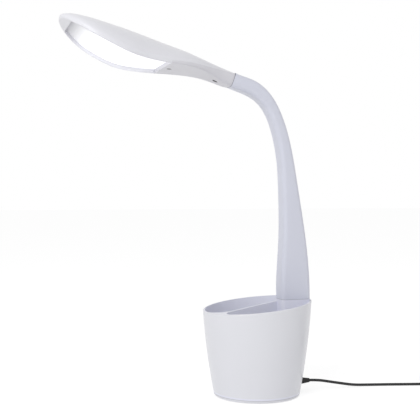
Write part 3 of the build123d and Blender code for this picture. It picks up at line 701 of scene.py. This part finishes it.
# ---- cord -----------------------------------------------------------------------------
@dataclass
class PowerCord:
    """The cord from the plug along the desk, its stored coil and the tail to the adapter."""

    diameter: float = 3.2 * MM
    exit: tuple[float, float, float] = (0.0, 0.0, 0.0)
    route: list[tuple[float, float, float]] = field(
        default_factory=lambda: [
            (0.0775, -0.0002, 0.0114),
            (0.0910, -0.0003, 0.0087),
            (0.1070, 0.0003, 0.0055),
            (0.1230, 0.0005, 0.0025),
            (0.1430, -0.0011, 0.00175),
            (0.1660, -0.0060, 0.0017),
            (0.1890, -0.0122, 0.00172),
            (0.2110, -0.0173, 0.0017),
            (0.2290, -0.0198, 0.00171),
        ]
    )
    tail: list[tuple[float, float, float]] = field(
        default_factory=lambda: [
            (0.2630, -0.0183, 0.0134),
            (0.2780, -0.0193, 0.0112),
            (0.2910, -0.0218, 0.0070),
            (0.3030, -0.0240, 0.0046),
            (0.3125, -0.0240, 0.0044),
        ]
    )
    centre: tuple[float, float] = (0.246, 0.0036)
    mid_radius: float = 18.6 * MM
    pitch: float = 4.35 * MM
    rise: float = 3.9 * MM
    floor: float = 1.7 * MM
    layers: int = 4
    half_turns: int = 5
    exit_half_turns: int = 4
    points_per_half_turn: int = 8

    def coil(self) -> list[tuple[float, float, float]]:
        """The coil's control points, from its near side at the floor to its top.

        Returns:
            Points in metres.
        """
        radius = self.mid_radius + self.pitch * self.half_turns / 4
        angle = -math.pi / 2
        level = 0.0
        points: list[tuple[float, float, float]] = []
        swell = 1 / math.cos(math.pi / self.points_per_half_turn / 2)

        def half_turn(change: float, climb: float) -> None:
            """Add half a turn.

            Args:
                change: How much the radius grows over it.
                climb: How much the cord rises over it.
            """
            nonlocal radius, angle, level
            for step in range(self.points_per_half_turn):
                share = (step + 0.5) / self.points_per_half_turn
                turn = angle + math.pi * share
                here = (radius + change * share) * (1 + (swell - 1) * 0.5)
                eased = share * share * (3 - 2 * share)
                points.append(
                    (
                        self.centre[0] + here * math.cos(turn),
                        self.centre[1] + here * math.sin(turn),
                        self.floor + level + climb * eased,
                    )
                )
            radius += change
            angle += math.pi
            level += climb

        for layer in range(self.layers):
            way = -1 if layer % 2 == 0 else 1
            count = self.exit_half_turns if layer == self.layers - 1 else self.half_turns
            for _ in range(count):
                half_turn(way * self.pitch / 2, 0.0)
            if layer < self.layers - 1:
                half_turn(0.0, self.rise)
        return points

    def build(self, finishes: Finishes) -> bpy.types.Object:
        """Make the cord as one NURBS curve with its finish.

        Args:
            finishes: The lamp's finishes.

        Returns:
            The curve object.
        """
        plug_low, plug_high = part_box("power_plug")
        middle = (plug_low[2] + plug_high[2]) / 2
        self.exit = (plug_high[0], 0.0, middle)
        points = [self.exit, *self.route, *self.coil(), *self.tail]
        curve = bpy.data.curves.new("power_cord_line", "CURVE")
        curve.dimensions = "3D"
        curve.bevel_depth = self.diameter / 2
        curve.bevel_resolution = 4
        curve.use_fill_caps = True
        curve.resolution_u = 6
        line = curve.splines.new("NURBS")
        line.points.add(len(points) - 1)
        for place, point in zip(line.points, points):
            place.co = (*point, 1.0)
        line.order_u = 3
        line.use_endpoint_u = True
        cord = bpy.data.objects.new("power_cord_jacket", curve)
        bpy.context.scene.collection.objects.link(cord)
        cord.data.materials.append(finishes.by_slot["black_rubber"])
        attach(cord, BASE_BODY)
        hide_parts("power_cord", "cord_coil", "cord_tail")
        return cord

    def declare(self, cord: bpy.types.Object) -> None:
        """Args:
            cord: The cord's curve object.
        """
        length = self.measure(cord)
        LOG.info("cord length %.3f m", length)

    @staticmethod
    def measure(cord: bpy.types.Object) -> float:
        """Length of the cord's middle line.

        Args:
            cord: The cord's curve object.

        Returns:
            Metres.
        """
        curve = cord.data.copy()
        curve.bevel_depth = 0.0
        probe = bpy.data.objects.new("cord_probe", curve)
        bpy.context.scene.collection.objects.link(probe)
        bpy.context.view_layer.update()
        mesh = bpy.data.meshes.new_from_object(probe.evaluated_get(bpy.context.evaluated_depsgraph_get()))
        total = sum(
            (mesh.vertices[edge.vertices[0]].co - mesh.vertices[edge.vertices[1]].co).length
            for edge in mesh.edges
        )
        bpy.data.objects.remove(probe)
        bpy.data.curves.remove(curve)
        bpy.data.meshes.remove(mesh)
        return total


# ---- camera, light and floor ------------------------------------------------------------
@dataclass
class Studio:
    """The photo's viewpoint, a white floor and plain soft light."""

    camera_place: tuple[float, float, float] = (-0.3352, -0.9209, 0.2299)
    azimuth: float = 16.86
    pitch: float = -1.04
    focal_pixels: float = 852.2
    sensor: float = 36.0
    room_light: float = 0.55
    key_place: tuple[float, float, float] = (-1.5, -1.3, 1.2)
    key_size: float = 1.1
    key_power: float = 17.0
    fill_place: tuple[float, float, float] = (1.4, -0.9, 0.9)
    fill_size: float = 1.4
    fill_power: float = 2.0
    lit_point: tuple[float, float, float] = (0.0, 0.0, 0.22)
    floor_side: float = 12.0

    def aim_camera(self) -> None:
        """Create the camera at the photo's viewpoint."""
        data = bpy.data.cameras.new("photo_camera")
        data.sensor_fit = "HORIZONTAL"
        data.sensor_width = self.sensor
        data.lens = self.focal_pixels * self.sensor / IMAGE_SIDE
        data.clip_start = 0.01
        data.clip_end = 50.0
        camera = bpy.data.objects.new("photo_camera", data)
        camera.location = self.camera_place
        camera.rotation_euler = (math.radians(90 + self.pitch), 0.0, math.radians(-self.azimuth))
        bpy.context.scene.collection.objects.link(camera)
        bpy.context.scene.camera = camera

    def lay_floor(self) -> None:
        """Lay the white floor."""
        maker = bmesh.new()
        bmesh.ops.create_grid(maker, x_segments=2, y_segments=2, size=self.floor_side)
        mesh = bpy.data.meshes.new("floor")
        maker.to_mesh(mesh)
        maker.free()
        floor = bpy.data.objects.new("floor", mesh)
        bpy.context.scene.collection.objects.link(floor)
        mesh.materials.append(Floor("floor_white", (244, 244, 245), glow=0.74, shaded_share=0.44).build())

    def light(self) -> None:
        """Add the soft lamps and the white world."""
        world = bpy.data.worlds.new("white_room")
        world.use_nodes = True
        shader = Shader.of_tree(world.node_tree)
        dim = shader.node("ShaderNodeBackground", {}, {"Color": PURE_WHITE, "Strength": self.room_light})
        bright = shader.node("ShaderNodeBackground", {}, {"Color": PURE_WHITE, "Strength": 1.0})
        mixed = shader.node(
            "ShaderNodeMixShader", {}, {0: seen_directly(shader), 1: dim.outputs[0], 2: bright.outputs[0]}
        )
        out = shader.node("ShaderNodeOutputWorld", {}, {})
        shader.tree.links.new(mixed.outputs[0], out.inputs[0])
        bpy.context.scene.world = world
        self.lamp("key_softbox", self.key_place, self.key_size, self.key_power)
        self.lamp("fill_softbox", self.fill_place, self.fill_size, self.fill_power)

    def lamp(self, name: str, place: tuple[float, float, float], size: float, power: float) -> None:
        """Add one square softbox aimed at the lamp's middle.

        Args:
            name: The lamp's name.
            place: Its place in metres.
            size: Its side in metres.
            power: Its power in watts.
        """
        data = bpy.data.lights.new(name, "AREA")
        data.shape = "SQUARE"
        data.size = size
        data.energy = power
        lamp = bpy.data.objects.new(name, data)
        lamp.location = place
        aim = Vector(self.lit_point) - Vector(place)
        lamp.rotation_euler = aim.to_track_quat("-Z", "Y").to_euler()
        bpy.context.scene.collection.objects.link(lamp)


def main() -> None:
    """Build the studio, dress the frame and add the pieces."""
    logging.basicConfig(level=logging.INFO)
    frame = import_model()
    bpy.context.scene.view_settings.view_transform = "Standard"
    studio = Studio()
    studio.aim_camera()
    finishes = Finishes(frame)
    finishes.dress_nodes(frame)
    power_cord = PowerCord()
    cord = power_cord.build(finishes)
    power_cord.declare(cord)
    studio.lay_floor()
    studio.light()


if __name__ == "__main__":
    main()
